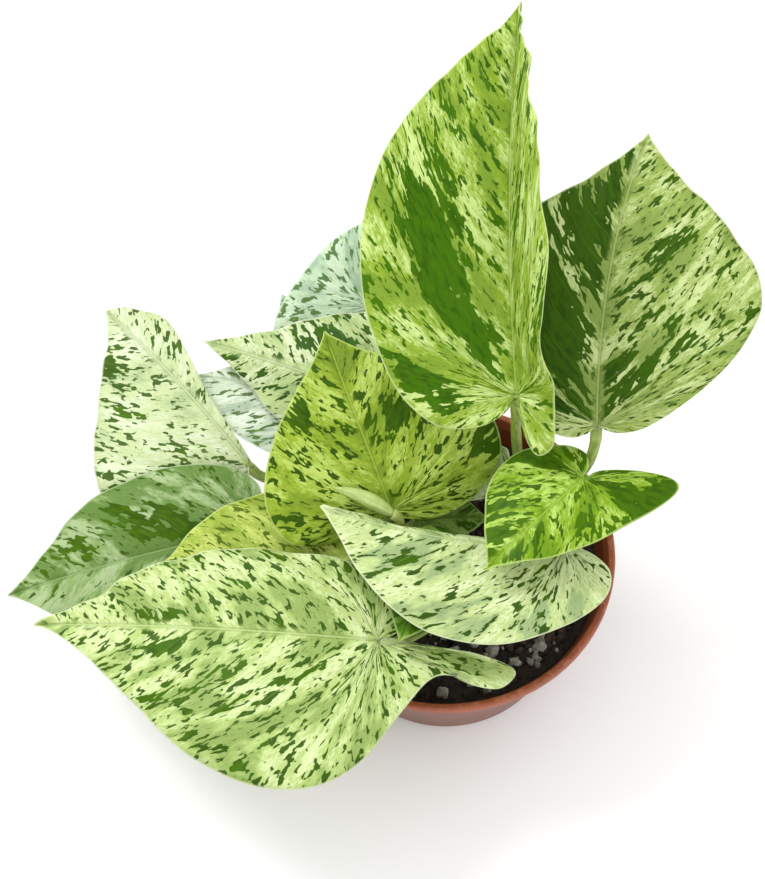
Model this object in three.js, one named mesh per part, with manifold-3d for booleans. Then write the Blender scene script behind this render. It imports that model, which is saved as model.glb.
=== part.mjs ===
// A young variegated pothos in a tapered plastic nursery pot.
// Millimetres, +Z up. The origin is the middle of the pot's underside, and the plant's open side faces -Y.
import * as THREE from 'three';
import { mergeVertices } from 'three/addons/utils/BufferGeometryUtils.js';
import Module from 'manifold-3d';

const wasm = await Module();
wasm.setup();

// ---- Driving dimensions ----

const POT_HEIGHT = 56;
const POT_RIM_RADIUS = 52.5;
const POT_BASE_RADIUS = 36;
const POT_WALL = 1.3;
const POT_FLOOR = 1.6;
const RIM_DEPTH = 3;
const RIM_WIDTH = 2.3;
const SHOULDER_WIDTH = 0.3;
const EDGE_ROUND = 0.6;
const POT_SIDES = 48;
const DRAIN_HOLES = 6;
const DRAIN_RADIUS = 3.5;
const DRAIN_CIRCLE = 24;
const DRAIN_SIDES = 12;

const SOIL_LEVEL = 46.5;
const SOIL_RINGS = 6;
const SOIL_LUMP = 0.7;
const SOIL_LUMP_PITCH = 12;

const CLEARANCE = 0.4;
const BLADE_THICKNESS = 0.8;
const FAN_STEPS = 9;
const FOOT_STEPS = 7;
const HALF_STEPS = 3;
const RIB_STEPS = 32;
const VEIN_SLANT = 0.8;
const VEIN_BOW = 0.13;
const MARGIN_STEP = 1 / 64;
const LOBE_REACH = 0.15;

const STALK_RADIUS = 1.6;
const STALK_STEPS = 9;
const STALK_BOW = 0.35;
const VINE_RADIUS = 2.4;
const VINE_STEPS = 8;
const VINE_ROOT_DEPTH = 14;
const TUBE_SIDES = 8;

// ---- Leaf outlines ----

// One half of a flat heart-shaped blade, from the notch at the stalk round the lobe to the tip.
// x runs along the midrib in blade lengths, y away from it in half widths.
function heartOutline(lobe) {
  return [
    [0, 0], [-0.62 * lobe, 0.1], [-lobe, 0.3], [-0.72 * lobe, 0.58],
    [0.06, 0.84], [0.24, 0.99], [0.42, 0.98], [0.59, 0.83],
    [0.75, 0.54], [0.87, 0.25], [0.95, 0.08], [1, 0],
  ];
}

// The half whose lobe has twisted away into a long narrow flap.
const FLAP_OUTLINE = [
  [0, 0], [-0.12, 0.015], [-0.25, 0.04], [-0.34, 0.07], [-0.37, 0.13], [-0.33, 0.23],
  [-0.26, 0.22], [-0.2, 0.18], [-0.14, 0.24], [-0.07, 0.46], [0.02, 0.76], [0.13, 0.95],
  [0.28, 1], [0.44, 0.88], [0.6, 0.6], [0.76, 0.3], [0.89, 0.1], [1, 0],
];

// The half whose lobe is drawn out backwards like the barb of an arrow.
const BARB_OUTLINE = [
  [0, 0], [-0.15, 0.12], [-0.36, 0.45], [-0.5, 0.84], [-0.45, 1], [-0.2, 0.98],
  [0.1, 0.88], [0.35, 0.75], [0.6, 0.52], [0.8, 0.26], [0.92, 0.08], [1, 0],
];

// The half that is slim beside the stalk and full near the tip.
const SPOON_OUTLINE = [
  [0, 0], [0.03, 0.1], [0.15, 0.2], [0.35, 0.38], [0.55, 0.7],
  [0.72, 0.96], [0.85, 0.88], [0.94, 0.52], [1, 0],
];

// The half that is cut back beside the stalk and fullest halfway along.
const WAIST_OUTLINE = [
  [0, 0], [0.05, 0.12], [0.15, 0.3], [0.28, 0.7], [0.42, 0.98],
  [0.55, 0.9], [0.7, 0.56], [0.82, 0.28], [0.92, 0.1], [1, 0],
];

// The half that widens slowly from a short lobe and narrows fast towards the tip.
const SHOULDER_OUTLINE = [
  [0, 0], [-0.03, 0.12], [-0.04, 0.25], [-0.02, 0.42], [0.05, 0.6], [0.14, 0.74],
  [0.3, 0.9], [0.47, 1], [0.61, 0.84], [0.75, 0.47], [0.87, 0.18], [0.95, 0.05], [1, 0],
];

// The half that is cut away beside the stalk and nearly round beyond it.
const ROUND_OUTLINE = [
  [0, 0], [-0.02, 0.13], [-0.005, 0.3], [0.05, 0.49], [0.13, 0.68], [0.24, 0.86],
  [0.36, 0.97], [0.46, 1], [0.6, 0.91], [0.75, 0.61], [0.87, 0.29], [0.95, 0.09], [1, 0],
];

// ---- Plant layout ----

// root: where the stem leaves the soil. top: where it ends.
const VINES = {
  left: { root: [-19, 2], top: [-24, 0, 60] },
  front: { root: [5, -20], top: [8, -18, 58] },
  right: { root: [21, 15], top: [26, 12, 66] },
  back: { root: [7, 24], top: [11, 28, 72] },
  far: { root: [-22, 18], top: [-28, 26, 62] },
  rear: { root: [-5, 28], top: [-10, 34, 64] },
};

// base: where the stalk meets the blade. heading: direction of the midrib there, from +X towards +Y.
// pitch: rise of the midrib there. arch and swerve: change of pitch and heading on the way to the tip.
// Pairs are [left half, right half], looking from the base to the tip. half: half widths.
// fold: rise of each half from the midrib. curl: its extra bend by the margin. lobe: reach of the basal
// lobes in blade lengths. lift: extra bend of the lobes. taper: how much slimmer the half grows towards
// the tip. vine: the stem that carries the leaf. node: height of the stalk's foot on it.
// slope: angle between stalk and blade. drop: extra room under the blade. All angles are in degrees.
const LEAVES = [
  {
    name: 'leaf_01', base: [20.5, 20, 116], heading: 95, pitch: 36, arch: -30, swerve: -12, length: 120,
    half: [43, 35], fold: [0, 80], curl: [14, -5], lobe: [0.05, 0.1], lift: [0, 60],
    vine: 'right', node: 64, slope: 50,
  },
  {
    name: 'leaf_02', base: [44, 15, 107], heading: 89, pitch: 21, arch: -20, swerve: -20, length: 97,
    half: [33, 45], fold: [8, 4], curl: [-10, -8], lobe: [0.04, 0.02],
    outline: [SHOULDER_OUTLINE, ROUND_OUTLINE],
    vine: 'right', node: 60, slope: 35,
  },
  {
    name: 'leaf_03', base: [40, 2, 99], heading: -136, pitch: 5, arch: -25, length: 40,
    half: [21, 20], curl: [-10, -10], lobe: [0.45, 0.18], outline: [BARB_OUTLINE, null],
    vine: 'right', node: 54, slope: 60,
  },
  {
    name: 'leaf_04', base: [35, -12, 84], heading: 186, pitch: 9, arch: -14, swerve: -30, length: 74,
    half: [31, 12], fold: [0, -50], curl: [-12, -20], lobe: [0.17, 0.1],
    vine: 'front', node: 50, slope: 50, drop: 2,
  },
  {
    name: 'leaf_05', base: [-16, 3, 77], heading: 118, pitch: 49, arch: -50, swerve: -10, length: 60,
    half: [40, 44], fold: [-5, 15], curl: [-10, -10], lobe: [0.05, 0.12], taper: [0.5, 0.5],
    vine: 'left', node: 54, slope: 60,
  },
  {
    name: 'leaf_06', base: [17, 22, 81], heading: 157, pitch: 8, arch: -26, swerve: -5, length: 106,
    half: [24, 30], fold: [-35, 12], curl: [-10, -10], lobe: [0.04, 0.1], outline: [null, WAIST_OUTLINE],
    vine: 'back', node: 58, slope: 60, drop: 1,
  },
  {
    name: 'leaf_07', base: [-31, 47, 63], heading: 166, pitch: 10, arch: -20, length: 52,
    half: [24, 12], fold: [10, 0], curl: [-10, -10], lobe: [0.05, 0.02],
    vine: 'far', node: 60, slope: 15, drop: 2,
  },
  {
    name: 'leaf_08', base: [-61, 25, 66], heading: 131, pitch: 16, arch: -45, length: 80,
    half: [50, 13], fold: [-14, 10], curl: [-10, -20], taper: [0.5, 0.1], outline: [null, SPOON_OUTLINE],
    vine: 'far', node: 57, slope: 25,
  },
  {
    name: 'leaf_09', base: [-58, 4, 63], heading: -171, pitch: -7, arch: -16, length: 84,
    half: [30, 25], fold: [-12, 24], curl: [-10, -10], lobe: [0.1, 0.04],
    vine: 'left', node: 50, slope: 30,
  },
  {
    name: 'leaf_10', base: [-28, -9, 71], heading: -177, pitch: 0, arch: -20, length: 66,
    half: [24, 23], fold: [0, 10], curl: [-5, -5],
    vine: 'left', node: 53, slope: 40,
  },
  {
    name: 'leaf_11', base: [-20, -38, 74], heading: 178, pitch: 8, arch: -40, swerve: -12, length: 112,
    half: [48, 27], fold: [0, 8], curl: [-20, -8], lobe: [0.1, 0.08], taper: [0.2, 0.1],
    outline: [FLAP_OUTLINE, null],
    vine: 'front', node: 57, slope: 15,
  },
  {
    name: 'leaf_12', base: [2, -4, 69], heading: -112, pitch: 26, arch: -20, length: 43,
    half: [15, 14], fold: [10, 10], curl: [-10, -10],
    vine: 'front', node: 53, slope: 60,
  },
  {
    name: 'leaf_13', base: [-24, 75, 80], heading: 66, pitch: 34, arch: -20, length: 36,
    half: [27, 14], fold: [10, 10], curl: [-10, -10], lobe: [0.45, 0.1], outline: [BARB_OUTLINE, null],
    vine: 'rear', node: 62, slope: 40,
  },
  {
    name: 'leaf_14', base: [-34, 67, 66], heading: 133, pitch: 13, arch: -20, length: 29,
    half: [16, 7], fold: [10, 10], curl: [-10, -10], lobe: [0.1, 0.02],
    vine: 'rear', node: 54, slope: 40,
  },
  {
    name: 'leaf_15', base: [-8, 9, 60], heading: 0, pitch: 10, arch: -15, length: 22,
    half: [9, 9], fold: [10, 10], curl: [-10, -10],
    vine: 'left', node: 49, slope: 60,
  },
];

// A young leaf still rolled into a spear, on its own short stalk.
const SPEAR = { foot: [-15, 0, 80], tip: [-33, 5, 88], radius: 2.3, vine: 'left', node: 59 };
const SPEAR_PROFILE = [[0, 0], [0.45, 0.02], [0.85, 0.2], [1, 0.42], [0.7, 0.7], [0.3, 0.92], [0, 1]];

// ---- Colours ----

const paint = (color, roughness) => new THREE.MeshStandardMaterial({ color, roughness, metalness: 0 });
const POT_PAINT = paint('#a3502f', 0.45);
const SOIL_PAINT = paint('#231a14', 0.95);
const STEM_PAINT = paint('#7d9a3c', 0.5);
const LEAF_PAINTS = ['#8fb354', '#a9c47c', '#c9dba6', '#7da04a'].map((tint) => paint(tint, 0.42));

// ---- Shared helpers ----

const radians = THREE.MathUtils.degToRad;

function addMesh(group, name, geometry, material) {
  const mesh = new THREE.Mesh(geometry, material);
  mesh.name = name;
  group.add(mesh);
}

function bareGeometry(geometry) {
  const bare = geometry.clone();
  bare.deleteAttribute('normal');
  bare.deleteAttribute('uv');
  return mergeVertices(bare, 1e-3);
}

function toSolid(geometry) {
  const bare = bareGeometry(geometry);
  const vertProperties = new Float32Array(bare.attributes.position.array);
  const triVerts = new Uint32Array(bare.index.array);
  return new wasm.Manifold(new wasm.Mesh({ numProp: 3, vertProperties, triVerts }));
}

function toGeometry(solid) {
  const mesh = solid.getMesh();
  const geometry = new THREE.BufferGeometry();
  geometry.setAttribute('position', new THREE.BufferAttribute(mesh.vertProperties, 3));
  geometry.setIndex(new THREE.BufferAttribute(mesh.triVerts, 1));
  geometry.computeVertexNormals();
  return geometry;
}

// A profile of [radius, height] points turned round +Z.
function turned(profile, sides) {
  const points = profile.map(([r, z]) => new THREE.Vector2(r, z));
  return new THREE.LatheGeometry(points, sides).rotateX(Math.PI / 2);
}

// A round bar that follows a curve.
function bar(curve, radius, steps) {
  const section = new THREE.Shape();
  for (let i = 0; i < TUBE_SIDES; i += 1) {
    const angle = (i / TUBE_SIDES) * 2 * Math.PI;
    const point = [radius * Math.cos(angle), radius * Math.sin(angle)];
    if (i === 0) {
      section.moveTo(...point);
    } else {
      section.lineTo(...point);
    }
  }
  section.closePath();
  return new THREE.ExtrudeGeometry(section, { steps, extrudePath: curve, bevelEnabled: false });
}

// ---- Pot ----

const innerRim = POT_RIM_RADIUS - RIM_WIDTH;
const underRim = POT_HEIGHT - RIM_DEPTH;
const shoulder = innerRim + SHOULDER_WIDTH;
const wallLean = (shoulder - POT_BASE_RADIUS) / underRim;

function outerRadius(z) {
  return POT_BASE_RADIUS + wallLean * z;
}

function makePot() {
  const insideFloor = outerRadius(POT_FLOOR) - POT_WALL;
  const profile = [
    [0, 0],
    [POT_BASE_RADIUS - EDGE_ROUND, 0],
    [outerRadius(EDGE_ROUND), EDGE_ROUND],
    [shoulder, underRim],
    [POT_RIM_RADIUS - EDGE_ROUND, underRim],
    [POT_RIM_RADIUS, underRim + EDGE_ROUND],
    [POT_RIM_RADIUS, POT_HEIGHT - EDGE_ROUND],
    [POT_RIM_RADIUS - EDGE_ROUND, POT_HEIGHT],
    [innerRim + EDGE_ROUND, POT_HEIGHT],
    [innerRim, POT_HEIGHT - EDGE_ROUND],
    [outerRadius(underRim) - POT_WALL, underRim],
    [insideFloor, POT_FLOOR],
    [0, POT_FLOOR],
  ];
  let pot = toSolid(turned(profile, POT_SIDES));
  for (let i = 0; i < DRAIN_HOLES; i += 1) {
    const angle = ((i + 0.5) / DRAIN_HOLES) * 2 * Math.PI;
    const drill = new THREE.CylinderGeometry(DRAIN_RADIUS, DRAIN_RADIUS, 4 * POT_FLOOR, DRAIN_SIDES);
    drill.rotateX(Math.PI / 2);
    drill.translate(DRAIN_CIRCLE * Math.cos(angle), DRAIN_CIRCLE * Math.sin(angle), 0);
    pot = pot.subtract(toSolid(drill));
  }
  return toGeometry(pot);
}

// ---- Vines ----

function vineCurve({ root, top }, extraDepth = 0) {
  const foot = new THREE.Vector3(root[0], root[1], SOIL_LEVEL - VINE_ROOT_DEPTH - extraDepth);
  const tip = new THREE.Vector3(...top);
  const upright = new THREE.Vector3(0, 0, (tip.z - foot.z) / 2);
  return new THREE.CubicBezierCurve3(foot, foot.clone().add(upright), tip.clone().sub(upright), tip);
}

// ---- Soil ----

function makeSoil() {
  const floor = POT_FLOOR + CLEARANCE;
  const reach = (z) => outerRadius(z) - POT_WALL - CLEARANCE;
  const profile = [[0, floor], [reach(floor), floor], [reach(SOIL_LEVEL), SOIL_LEVEL]];
  for (let ring = SOIL_RINGS - 1; ring >= 0; ring -= 1) {
    profile.push([(reach(SOIL_LEVEL) * ring) / SOIL_RINGS, SOIL_LEVEL]);
  }
  const geometry = bareGeometry(turned(profile, POT_SIDES / 2));
  const position = geometry.attributes.position;
  const ripple = (2 * Math.PI) / SOIL_LUMP_PITCH;
  for (let i = 0; i < position.count; i += 1) {
    const x = position.getX(i);
    const y = position.getY(i);
    if (position.getZ(i) > SOIL_LEVEL - 1 && Math.hypot(x, y) < reach(SOIL_LEVEL) - 1) {
      position.setZ(i, SOIL_LEVEL + SOIL_LUMP * Math.sin(x * ripple) * Math.cos(y * ripple));
    }
  }
  let soil = toSolid(geometry);
  for (const vine of Object.values(VINES)) {
    const socket = bar(vineCurve(vine, CLEARANCE), VINE_RADIUS + CLEARANCE, VINE_STEPS);
    soil = soil.subtract(toSolid(socket));
  }
  return toGeometry(soil);
}

// ---- Leaf blades ----

// A smooth line through the outline's points, at t from 0 to 1.
function alongOutline(points, t) {
  const spans = points.length - 1;
  const i = Math.min(Math.floor(t * spans), spans - 1);
  const f = t * spans - i;
  const before = points[i - 1] ?? [2 * points[0][0] - points[1][0], 2 * points[0][1] - points[1][1]];
  const last = points[spans];
  const beforeLast = points[spans - 1];
  const after = points[i + 2] ?? [2 * last[0] - beforeLast[0], 2 * last[1] - beforeLast[1]];
  const [b, c] = [points[i], points[i + 1]];
  return [0, 1].map((k) => 0.5 * (
    2 * b[k] + (c[k] - before[k]) * f
    + (2 * before[k] - 5 * b[k] + 4 * c[k] - after[k]) * f ** 2
    + (3 * b[k] - before[k] - 3 * c[k] + after[k]) * f ** 3
  ));
}

// Frame on the midrib at u from 0 at the base to 1 at the tip: ahead, left and up.
function ribFrame(leaf, u) {
  const heading = radians(leaf.heading + (leaf.swerve ?? 0) * u);
  const pitch = radians(leaf.pitch + leaf.arch * u);
  const level = Math.cos(pitch);
  const ahead = new THREE.Vector3(level * Math.cos(heading), level * Math.sin(heading), Math.sin(pitch));
  const left = new THREE.Vector3(-Math.sin(heading), Math.cos(heading), 0);
  return { ahead, left, up: ahead.clone().cross(left) };
}

function ribPoints(leaf) {
  const points = [new THREE.Vector3(...leaf.base)];
  for (let i = 0; i < RIB_STEPS; i += 1) {
    const { ahead } = ribFrame(leaf, (i + 0.5) / RIB_STEPS);
    points.push(points[i].clone().addScaledVector(ahead, leaf.length / RIB_STEPS));
  }
  return points;
}

// Where the flat blade's point x, y (y from the midrib outwards) lies on the bent blade.
function bendPoint(leaf, rib, half, x, y) {
  const side = half === 0 ? 1 : -1;
  const width = leaf.half[half];
  const lobe = (leaf.lobe ?? [0.1, 0.1])[half];
  const u = THREE.MathUtils.clamp(x / leaf.length, 0, 1);
  const s = u * RIB_STEPS;
  const i = Math.min(Math.floor(s), RIB_STEPS - 1);
  const { ahead, left, up } = ribFrame(leaf, u);
  const behind = LOBE_REACH * leaf.length - x;
  const inLobe = THREE.MathUtils.smoothstep(behind, 0, (LOBE_REACH + lobe) * leaf.length);
  const fold = radians((leaf.fold ?? [0, 0])[half]);
  const bend = radians((leaf.curl ?? [0, 0])[half] + (leaf.lift ?? [0, 0])[half] * inLobe) || 1e-4;
  const turn = fold + (bend * y) / width;
  const out = (width / bend) * (Math.sin(turn) - Math.sin(fold));
  const rise = (-width / bend) * (Math.cos(turn) - Math.cos(fold));
  return rib[i].clone().lerp(rib[i + 1], s - i)
    .addScaledVector(ahead, Math.min(x, 0))
    .addScaledVector(left, side * out)
    .addScaledVector(up, rise);
}

// Points along the margin of one half, flat. Rows near the notch all fan out from the stalk; the
// rest start at evenly spaced feet on the midrib, the same feet for both halves.
function marginStops(leaf, half) {
  const width = leaf.half[half];
  const taper = (leaf.taper ?? [0, 0])[half];
  const outline = (leaf.outline ?? [null, null])[half] ?? heartOutline((leaf.lobe ?? [0.1, 0.1])[half]);
  const tapered = outline.map(([x, y]) => [x, y * (1 - taper * THREE.MathUtils.clamp(x, 0, 1))]);
  const marginAt = (t) => {
    const [x, y] = alongOutline(tapered, t);
    return new THREE.Vector2(x * leaf.length, Math.max(y, 0) * width);
  };
  const footOf = (t) => marginAt(t).x - VEIN_SLANT * marginAt(t).y;
  const whereFoot = (x) => {
    let high = 1;
    while (high > 0 && footOf(high) > x) {
      high -= MARGIN_STEP;
    }
    let low = Math.max(high, 0);
    high = Math.min(low + MARGIN_STEP, 1);
    for (let i = 0; i < 30; i += 1) {
      const middle = (low + high) / 2;
      [low, high] = footOf(middle) < x ? [middle, high] : [low, middle];
    }
    return (low + high) / 2;
  };
  const fanEnd = whereFoot(0);
  const stops = [];
  for (let i = 0; i <= FAN_STEPS; i += 1) {
    stops.push({ foot: 0, margin: marginAt((fanEnd * i) / FAN_STEPS) });
  }
  for (let i = 1; i <= FOOT_STEPS; i += 1) {
    const foot = (leaf.length * i) / FOOT_STEPS;
    stops.push({ foot, margin: i === FOOT_STEPS ? marginAt(1) : marginAt(whereFoot(foot)) });
  }
  return stops;
}

// Rows of points from the midrib to the margin, each row along a side vein.
function halfBlade(leaf, rib, half) {
  return marginStops(leaf, half).map(({ foot, margin }) => {
    const start = new THREE.Vector2(foot, 0);
    const run = margin.clone().sub(start);
    const forward = Math.max(run.x, 0) / (run.length() || 1);
    const bow = start.clone().addScaledVector(run, 0.5);
    bow.addScaledVector(new THREE.Vector2(-run.y, run.x), VEIN_BOW * forward);
    bow.y = Math.max(bow.y, 0);
    const vein = new THREE.QuadraticBezierCurve(start, bow, margin);
    return vein.getPoints(HALF_STEPS).map((p) => bendPoint(leaf, rib, half, p.x, p.y));
  });
}

// One closed sheet of even thickness from rows of points for the two halves.
function makeBlade(leaf) {
  const rib = ribPoints(leaf);
  const points = [];
  const triangles = [];
  const known = new Map();
  const indexOf = (point) => {
    const key = point.toArray().map((value) => Math.round(value * 100)).join();
    if (!known.has(key)) {
      known.set(key, points.length);
      points.push(point);
    }
    return known.get(key);
  };
  const addTriangle = (a, b, c, flip) => {
    if (a !== b && b !== c && a !== c) {
      triangles.push(flip ? [a, c, b] : [a, b, c]);
    }
  };
  for (const half of [0, 1]) {
    const rows = halfBlade(leaf, rib, half).map((row) => row.map(indexOf));
    for (let v = 0; v < rows.length - 1; v += 1) {
      for (let w = 0; w < HALF_STEPS; w += 1) {
        const [a, b, c, d] = [rows[v][w], rows[v + 1][w], rows[v + 1][w + 1], rows[v][w + 1]];
        addTriangle(a, b, c, half === 1);
        addTriangle(a, c, d, half === 1);
      }
    }
  }
  return thicken(points, triangles, BLADE_THICKNESS);
}

// Turns an open sheet into a closed one, half the thickness to each side of it.
function thicken(points, triangles, thickness) {
  const normals = points.map(() => new THREE.Vector3());
  const rimEdges = new Map();
  for (const [a, b, c] of triangles) {
    const across = points[b].clone().sub(points[a]).cross(points[c].clone().sub(points[a]));
    for (const [from, to] of [[a, b], [b, c], [c, a]]) {
      normals[from].add(across);
      if (!rimEdges.delete(`${to},${from}`)) {
        rimEdges.set(`${from},${to}`, [from, to]);
      }
    }
  }
  const offset = (sign) => points.map((point, i) => (
    point.clone().addScaledVector(normals[i].clone().normalize(), (sign * thickness) / 2)
  ));
  const count = points.length;
  const faces = triangles.flatMap(([a, b, c]) => [[a, b, c], [a + count, c + count, b + count]]);
  for (const [from, to] of rimEdges.values()) {
    faces.push([from, from + count, to + count], [from, to + count, to]);
  }
  const geometry = new THREE.BufferGeometry().setFromPoints([...offset(1), ...offset(-1)]);
  geometry.setIndex(faces.flat());
  geometry.computeVertexNormals();
  return geometry;
}

// ---- Leaf stalks ----

// A stalk from the side of a stem, at the given height, up to its end.
function stalkBar(vineName, height, end, arrive) {
  const vine = vineCurve(VINES[vineName]);
  let onVine = vine.getPoint(0);
  for (let t = 0; t <= 1 && onVine.z < height; t += 0.02) {
    onVine = vine.getPoint(t);
  }
  const outward = end.clone().sub(onVine).setZ(0).normalize();
  const start = onVine.clone().addScaledVector(outward, VINE_RADIUS + STALK_RADIUS + CLEARANCE);
  const reach = STALK_BOW * start.distanceTo(end);
  const leave = new THREE.Vector3(0, 0, 1).addScaledVector(outward, 0.5).normalize();
  const curve = new THREE.CubicBezierCurve3(
    start,
    start.clone().addScaledVector(leave, reach),
    end.clone().addScaledVector(arrive, -reach),
    end,
  );
  return bar(curve, STALK_RADIUS, STALK_STEPS);
}

function makeStalk(leaf) {
  const { ahead, up } = ribFrame(leaf, 0);
  const slope = radians(leaf.slope);
  const arrive = ahead.clone().multiplyScalar(Math.cos(slope)).addScaledVector(up, Math.sin(slope));
  const under = BLADE_THICKNESS / 2 + CLEARANCE + STALK_RADIUS * Math.cos(slope) + (leaf.drop ?? 0);
  const end = new THREE.Vector3(...leaf.base).addScaledVector(up, -under).addScaledVector(ahead, -1);
  return stalkBar(leaf.vine, leaf.node, end, arrive);
}

// ---- Rolled leaf ----

const spearFoot = new THREE.Vector3(...SPEAR.foot);
const spearAim = new THREE.Vector3(...SPEAR.tip).sub(spearFoot);

function makeSpear() {
  const long = spearAim.length();
  const profile = SPEAR_PROFILE.map(([r, z]) => [SPEAR.radius * r, long * z]);
  const spin = new THREE.Quaternion().setFromUnitVectors(
    new THREE.Vector3(0, 0, 1),
    spearAim.clone().normalize(),
  );
  return turned(profile, TUBE_SIDES).applyQuaternion(spin).translate(...SPEAR.foot);
}

function makeSpearStalk() {
  const aim = spearAim.clone().normalize();
  return stalkBar(SPEAR.vine, SPEAR.node, spearFoot.clone().addScaledVector(aim, -CLEARANCE), aim);
}

// ---- Assembly ----

const plant = new THREE.Group();
addMesh(plant, 'pot', makePot(), POT_PAINT);
addMesh(plant, 'soil', makeSoil(), SOIL_PAINT);
for (const [name, vine] of Object.entries(VINES)) {
  addMesh(plant, `stem_${name}`, bar(vineCurve(vine), VINE_RADIUS, VINE_STEPS), STEM_PAINT);
}
LEAVES.forEach((leaf, i) => {
  addMesh(plant, leaf.name, makeBlade(leaf), LEAF_PAINTS[i % LEAF_PAINTS.length]);
  addMesh(plant, leaf.name.replace('leaf', 'stalk'), makeStalk(leaf), STEM_PAINT);
});

addMesh(plant, 'rolled_leaf', makeSpear(), STEM_PAINT);
addMesh(plant, 'stalk_rolled_leaf', makeSpearStalk(), STEM_PAINT);

export default plant;
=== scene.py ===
"""Looks of a young variegated pothos in a terracotta-coloured nursery pot.

Lengths in the tables below are millimetres, angles are degrees, and the frame is the CAD model's own.
"""

import math

import bmesh
import bpy
import numpy as np
from mathutils import Matrix, Vector, noise


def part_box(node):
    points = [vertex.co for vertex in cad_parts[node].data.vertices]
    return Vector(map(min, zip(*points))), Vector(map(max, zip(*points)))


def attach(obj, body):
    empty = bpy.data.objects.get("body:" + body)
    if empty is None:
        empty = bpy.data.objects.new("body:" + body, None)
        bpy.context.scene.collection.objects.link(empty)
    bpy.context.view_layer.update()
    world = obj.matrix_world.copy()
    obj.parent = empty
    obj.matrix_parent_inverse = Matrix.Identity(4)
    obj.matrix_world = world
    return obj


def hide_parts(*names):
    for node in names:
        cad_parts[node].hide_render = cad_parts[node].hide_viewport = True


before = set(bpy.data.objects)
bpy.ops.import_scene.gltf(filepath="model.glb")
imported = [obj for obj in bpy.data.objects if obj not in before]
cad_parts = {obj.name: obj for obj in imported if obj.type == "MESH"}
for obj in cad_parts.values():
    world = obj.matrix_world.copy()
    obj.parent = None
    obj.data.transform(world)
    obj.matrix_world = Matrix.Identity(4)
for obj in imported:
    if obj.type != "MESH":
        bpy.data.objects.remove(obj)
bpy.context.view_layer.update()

MM = 0.001
BODY = "root"

# ---- Sizes shared with the CAD model ----

POT_HEIGHT = 56.0
POT_RIM_RADIUS = 52.5
POT_BASE_RADIUS = 36.0
POT_WALL = 1.3
POT_FLOOR = 1.6
RIM_DEPTH = 3.0
RIM_WIDTH = 2.3
DRAIN_HOLES = 6
DRAIN_RADIUS = 3.5
DRAIN_CIRCLE = 24.0
SOIL_LEVEL = 46.5
VINE_ROOT_DEPTH = 14.0
VINE_RADIUS = 2.4
STALK_RADIUS = 1.6
STALK_BOW = 0.35
LOBE_REACH = 0.15
VEIN_SLANT = 1.05
VEIN_BOW = 0.13

# ---- Sizes that only the looks have ----

BLADE_THICKNESS = 0.42
GROOVE_DEPTH = 0.35
GROOVE_WIDTH = 0.9
KEEL_DEPTH = 1.15
KEEL_WIDTH = 1.1
QUILT_HEIGHT = 0.36
QUILT_PITCH = 6.2
WAVE_HEIGHT = 0.62
SOIL_GAP = 0.4
FLOOR_UNDERSIDE = 1.0

# How far the marbling runs on for each millimetre of the midrib, and of the margin round the stalk

RUN_PER_RIB = 0.7
RUN_PER_FAN = 0.6

# ---- Fineness of the meshes ----

ROW_PITCH = 1.05
COLUMNS = 26
COLUMN_CROWDING = 1.35
SHORTEST_ROW = 1e-3
POT_SIDES = 160
SOIL_RINGS = 70
SOIL_SIDES = 200
STALK_SIDES = 14
STALK_STEPS = 44
STALK_SAMPLES = 60
VINE_SIDES = 24
VINE_STEPS = 46
SPEAR_SIDES = 36
SPEAR_STEPS = 60
DRILL_SIDES = 32
RIB_STEPS = 512
MARGIN_SAMPLES = 4001
FAN_SAMPLES = 801

# ---- Camera ----

CAMERA_DISTANCE = 600.0
CAMERA_ELEVATION = 63.5
CAMERA_LENS = 79.35
RIM_RIGHT_OF_AIM = 1.848
RIM_BELOW_AIM = 3.294

# ---- Light. The gain is how much brighter than its own colour a level surface looks ----

STUDIO_GAIN = 1.28
WORLD_BRIGHTNESS = 1.1
LAMP_TARGET = (0, 0, 0.06)
FLOOR_TONE = 0.97
FLOOR_REACH = 3.0
FLOOR_DROP = 0.0002


# ---- Leaf outlines: x in blade lengths from the stalk, y in half widths from the midrib ----

def heart_outline(lobe):
    return [
        (0, 0), (-0.62 * lobe, 0.1), (-lobe, 0.3), (-0.72 * lobe, 0.58), (0.06, 0.84), (0.24, 0.99),
        (0.42, 0.98), (0.59, 0.83), (0.75, 0.54), (0.87, 0.25), (0.95, 0.08), (1, 0),
    ]


FLAP = [
    (0, 0), (-0.12, 0.015), (-0.25, 0.04), (-0.34, 0.07), (-0.37, 0.13), (-0.33, 0.23), (-0.26, 0.22),
    (-0.2, 0.18), (-0.14, 0.24), (-0.07, 0.46), (0.02, 0.76), (0.13, 0.95), (0.28, 1), (0.44, 0.88),
    (0.6, 0.6), (0.76, 0.3), (0.89, 0.1), (1, 0),
]
BARB = [
    (0, 0), (-0.15, 0.12), (-0.36, 0.45), (-0.5, 0.84), (-0.45, 1), (-0.2, 0.98), (0.1, 0.88),
    (0.35, 0.75), (0.6, 0.52), (0.8, 0.26), (0.92, 0.08), (1, 0),
]
EAR = [
    (0, 0), (-0.05, 0.04), (-0.11, 0.06), (-0.15, 0.14), (-0.13, 0.27), (-0.06, 0.32), (0, 0.4),
    (0.08, 0.66), (0.24, 0.99), (0.42, 0.98), (0.59, 0.83), (0.75, 0.54), (0.87, 0.25), (0.95, 0.08),
    (1, 0),
]
SPOON = [
    (0, 0), (0.03, 0.1), (0.15, 0.2), (0.35, 0.38), (0.55, 0.7), (0.72, 0.96), (0.85, 0.88),
    (0.94, 0.52), (1, 0),
]
WAIST = [
    (0, 0), (0.05, 0.12), (0.15, 0.3), (0.28, 0.7), (0.42, 0.98), (0.55, 0.9), (0.7, 0.56),
    (0.82, 0.28), (0.92, 0.1), (1, 0),
]
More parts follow.
